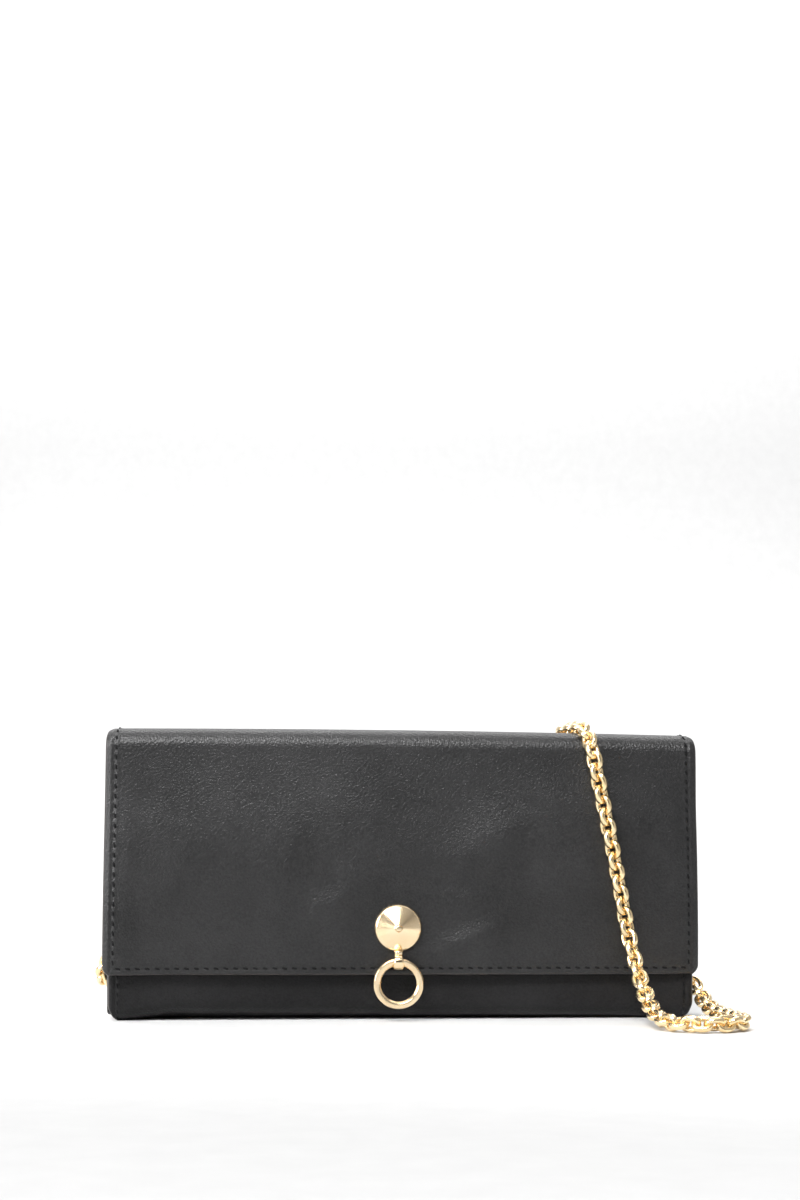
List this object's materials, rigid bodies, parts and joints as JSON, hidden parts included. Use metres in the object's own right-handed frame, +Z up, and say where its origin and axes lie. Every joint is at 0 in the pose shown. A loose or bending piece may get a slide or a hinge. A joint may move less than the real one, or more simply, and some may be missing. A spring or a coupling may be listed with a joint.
{
  "type": "chain wallet",
  "caption": "Flap wallet with a snap stud, ring pull, card panels, zipped coin pocket, folded side gussets and a cable-chain strap draped over it.",
  "frame": {"origin": "middle of the wallet's box at the base, chain left out", "axes": "+X to the wearer's view right along the width, +Y from the flap towards the back wall, +Z up"},
  "size_m": [0.2034, 0.1667, 0.104],
  "materials": {
    "black_leather": "fine-grained smooth black calf, satin",
    "lining_leather": "thin black lining leather, matt",
    "card_leather": "thin pressed black leather, satin",
    "pocket_fabric": "black twill pocket fabric",
    "zip_tape": "black woven tape",
    "gold_metal": "polished pale gold plating",
    "chain_metal": "polished pale gold plating",
    "zip_metal": "satin pale gold plating",
    "snap_metal": "satin brass"
  },
  "bodies": {
    "root": {"body_leather": "black_leather", "body_lining": "lining_leather", "zip_pocket_back_leather": "card_leather", "zip_pocket_front_leather": "card_leather", "zip_pocket_lining": "pocket_fabric", "zip_tape_back": "zip_tape", "zip_tape_front": "zip_tape", "zip_teeth_back": "zip_metal", "zip_teeth_front": "zip_metal", "zip_stops": "zip_metal", "snap_ball": "snap_metal", "snap_ball_rivet": "snap_metal", "back_card_panel_1": "card_leather", "back_card_panel_2": "card_leather", "back_card_panel_3": "card_leather", "back_card_panel_4": "card_leather", "front_card_panel_1": "card_leather", "front_card_panel_2": "card_leather", "left_gusset": "black_leather", "right_gusset": "black_leather", "left_ring_tab": "black_leather", "right_ring_tab": "black_leather", "chain_left_run": "chain_metal", "chain_right_run": "chain_metal", "chain_coil": "chain_metal"},
    "top_strip": {"top_strip_leather": "black_leather", "top_strip_lining": "lining_leather"},
    "flap": {"flap_leather": "black_leather", "flap_lining": "lining_leather", "snap_stud": "gold_metal", "snap_socket": "snap_metal", "snap_spring": "snap_metal", "ring_hanger": "gold_metal", "hanger_washer": "snap_metal"},
    "pull_ring": {"pull_ring": "gold_metal"},
    "zip_slider": {"zip_slider": "zip_metal"},
    "zip_puller": {"zip_puller": "zip_metal"},
    "left_d_ring": {"left_d_ring": "gold_metal", "left_end_ring": "gold_metal"},
    "right_d_ring": {"right_d_ring": "gold_metal", "right_end_ring": "gold_metal"}
  },
  "joints": [
    {"name": "flap_rear_crease", "type": "hinge", "parent": "root", "child": "top_strip", "pos_m": [0, 0.01486, 0.09271], "axis": [-1, 0, 0], "range_deg": [0, 90], "deforming": ["chain_right_run"]},
    {"name": "flap_front_crease", "type": "hinge", "parent": "top_strip", "child": "flap", "pos_m": [0, -0.01016, 0.09271], "axis": [-1, 0, 0], "range_deg": [0, 90]},
    {"name": "pull_ring_swing", "type": "hinge", "parent": "flap", "child": "pull_ring", "pos_m": [0, -0.01375, 0.0189], "axis": [-1, 0, 0], "range_deg": [0, 110]},
    {"name": "zip_slide", "type": "slide", "parent": "root", "child": "zip_slider", "axis": [-1, 0, 0], "range_m": [0, 0.129], "deforming": ["zip_teeth_back", "zip_teeth_front", "zip_tape_back", "zip_tape_front"]},
    {"name": "zip_puller_swing", "type": "hinge", "parent": "zip_slider", "child": "zip_puller", "pos_m": [0.064, 0.00425, 0.076], "axis": [0, 1, 0], "range_deg": [0, 165]},
    {"name": "left_d_ring_swing", "type": "hinge", "parent": "root", "child": "left_d_ring", "pos_m": [-0.0833, 0.00425, 0.069], "axis": [0, 1, 0], "range_deg": [0, 20]},
    {"name": "right_d_ring_swing", "type": "hinge", "parent": "root", "child": "right_d_ring", "pos_m": [0.0833, 0.00425, 0.069], "axis": [0, -1, 0], "range_deg": [0, 20]}
  ],
  "couplings": [
    {"joint": "flap_front_crease", "follows": "flap_rear_crease", "ratio": 1}
  ]
}
